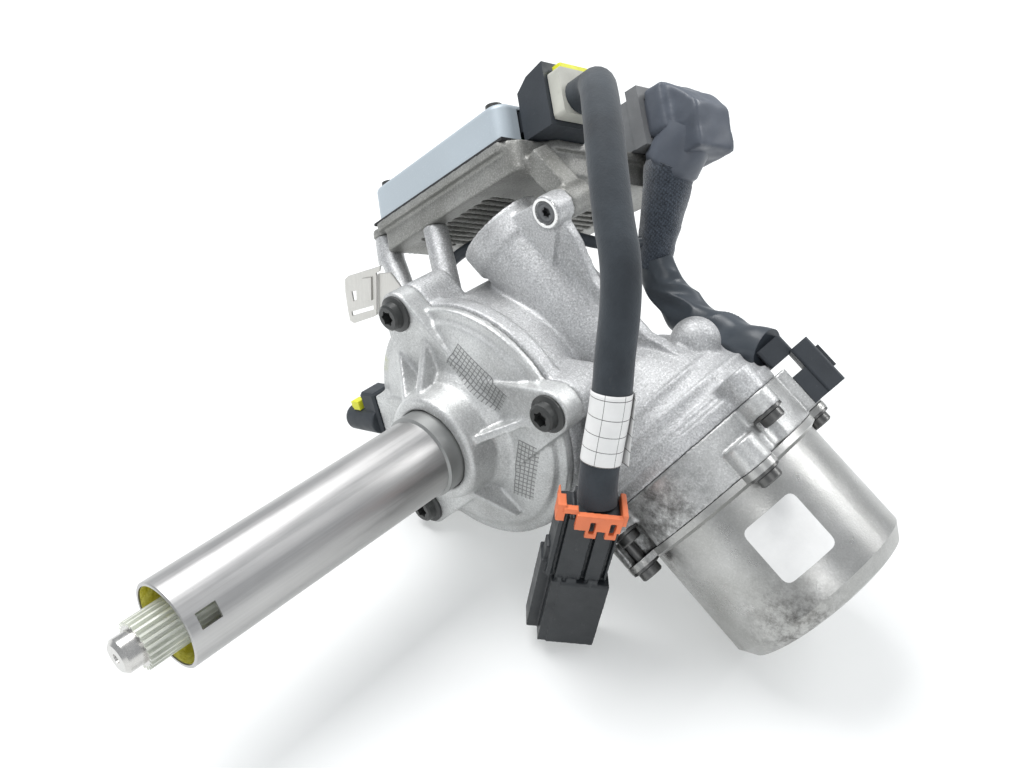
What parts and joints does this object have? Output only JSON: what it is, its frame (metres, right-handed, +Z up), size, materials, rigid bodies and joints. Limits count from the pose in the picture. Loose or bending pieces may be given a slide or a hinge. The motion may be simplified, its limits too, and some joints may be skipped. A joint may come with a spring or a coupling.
{
  "type": "electric power steering column assist unit",
  "caption": "Column assist drive of an electric power steering: tube, torque sensor, worm gearbox, motor, control unit and leads.",
  "frame": {"origin": "on the column axis, in the middle of the column tube's clamping length", "axes": "-Y along the column towards the steering wheel, +Z up as the unit lies on its motor and lowest bolt ear"},
  "size_m": [0.3176, 0.3582, 0.2315],
  "materials": {
    "jacket_steel": "drawn steel tube",
    "shaft_steel": "ground steel",
    "sleeve_coat": "moulded nylon coat",
    "hub_steel": "turned",
    "wheel_plastic": "cut nylon",
    "bearing_steel": "polished",
    "magnet": "coated",
    "core_steel": "stacked sheet",
    "casting": "die cast",
    "bolt_black": "dark zinc",
    "screw_bright": "zinc",
    "end_plug_steel": "turned",
    "rubber_black": "moulded",
    "can_steel": "drawn, zinc plated",
    "copper": "enamelled wire",
    "plug_black": "moulded",
    "header_grey": "moulded",
    "plug_white": "moulded",
    "lock_yellow": "moulded",
    "lock_orange": "moulded",
    "cover_paint": "satin pale blue-grey",
    "board_green": "solder mask",
    "bracket_steel": "zinc plated sheet",
    "loom_foam": "matt foam tube",
    "tape_cloth": "wound cloth tape",
    "vinyl": "semi-gloss sleeve"
  },
  "bodies": {
    "housing": {"column_tube": "jacket_steel", "input_bearing_outer": "bearing_steel", "output_bearing_outers": "bearing_steel", "worm_bearing_outers": "bearing_steel", "rotor_bearing_outers": "bearing_steel", "sensor_body": "plug_black", "sensor_socket": "plug_black", "sensor_plug": "plug_black", "front_cover": "casting", "cover_bolts": "bolt_black", "gear_housing": "casting", "lug_screw": "screw_bright", "end_plug": "end_plug_steel", "output_seal": "rubber_black", "motor_adapter": "casting", "adapter_screws": "screw_bright", "motor_can": "can_steel", "motor_screws": "screw_bright", "stator_core": "core_steel", "stator_windings": "copper", "motor_plug": "plug_black", "unit_base": "casting", "unit_lid": "cover_paint", "lid_screws": "bolt_black", "circuit_board": "board_green", "power_header": "plug_black", "signal_header": "header_grey", "loom_plug": "plug_white", "lead_plug": "plug_black", "ear_screw": "bolt_black", "clip_bracket": "bracket_steel", "loom_connector": "plug_black", "loom": "loom_foam", "sensor_lead": "vinyl", "lead_tape": "tape_cloth", "lead_sleeve": "vinyl"},
    "output": {"output_shaft": "shaft_steel", "output_pin": "shaft_steel", "torsion_bar": "shaft_steel", "wheel_hub": "hub_steel", "worm_wheel": "wheel_plastic", "output_bearing_inners": "bearing_steel", "sensor_cup": "core_steel"},
    "input": {"input_shaft": "shaft_steel", "spline_sleeve": "sleeve_coat", "input_pin": "shaft_steel", "input_bearing_inner": "bearing_steel", "sensor_magnet": "magnet"},
    "worm": {"worm_shaft": "shaft_steel", "worm_bearing_inners": "bearing_steel", "coupling_worm_hub": "hub_steel", "coupling_spider": "rubber_black", "coupling_motor_hub": "hub_steel", "rotor_shaft": "shaft_steel", "rotor_core": "core_steel", "rotor_magnets": "magnet", "rotor_bearing_inners": "bearing_steel"},
    "plug_lock": {"plug_lock": "lock_yellow"},
    "connector_lock": {"connector_lock": "lock_orange"},
    "sensor_lock": {"sensor_lock": "lock_yellow"}
  },
  "joints": [
    {"name": "worm_spin", "type": "hinge", "parent": "housing", "child": "worm", "pos_m": [0.02625, 0.15, 0.04685], "axis": [0.8724, 0, -0.4888], "continuous": true},
    {"name": "output_turn", "type": "hinge", "parent": "housing", "child": "output", "pos_m": [0, 0, 0], "axis": [0, 1, 0], "continuous": true},
    {"name": "input_twist", "type": "hinge", "parent": "output", "child": "input", "pos_m": [0, 0, 0], "axis": [0, 1, 0], "range_deg": [-4.5, 4.5], "stiffness_Nm_per_rad": 130},
    {"name": "plug_lock_slide", "type": "slide", "parent": "housing", "child": "plug_lock", "axis": [0.7577, 0, 0.6526], "range_m": [0, 0.004]},
    {"name": "connector_lock_slide", "type": "slide", "parent": "housing", "child": "connector_lock", "axis": [0.1081, 0.0236, 0.9939], "range_m": [0, 0.004]},
    {"name": "sensor_lock_slide", "type": "slide", "parent": "housing", "child": "sensor_lock", "axis": [0, -1, 0], "range_m": [0, 0.002]}
  ],
  "couplings": [
    {"joint": "output_turn", "follows": "worm_spin", "ratio": -0.04878}
  ]
}
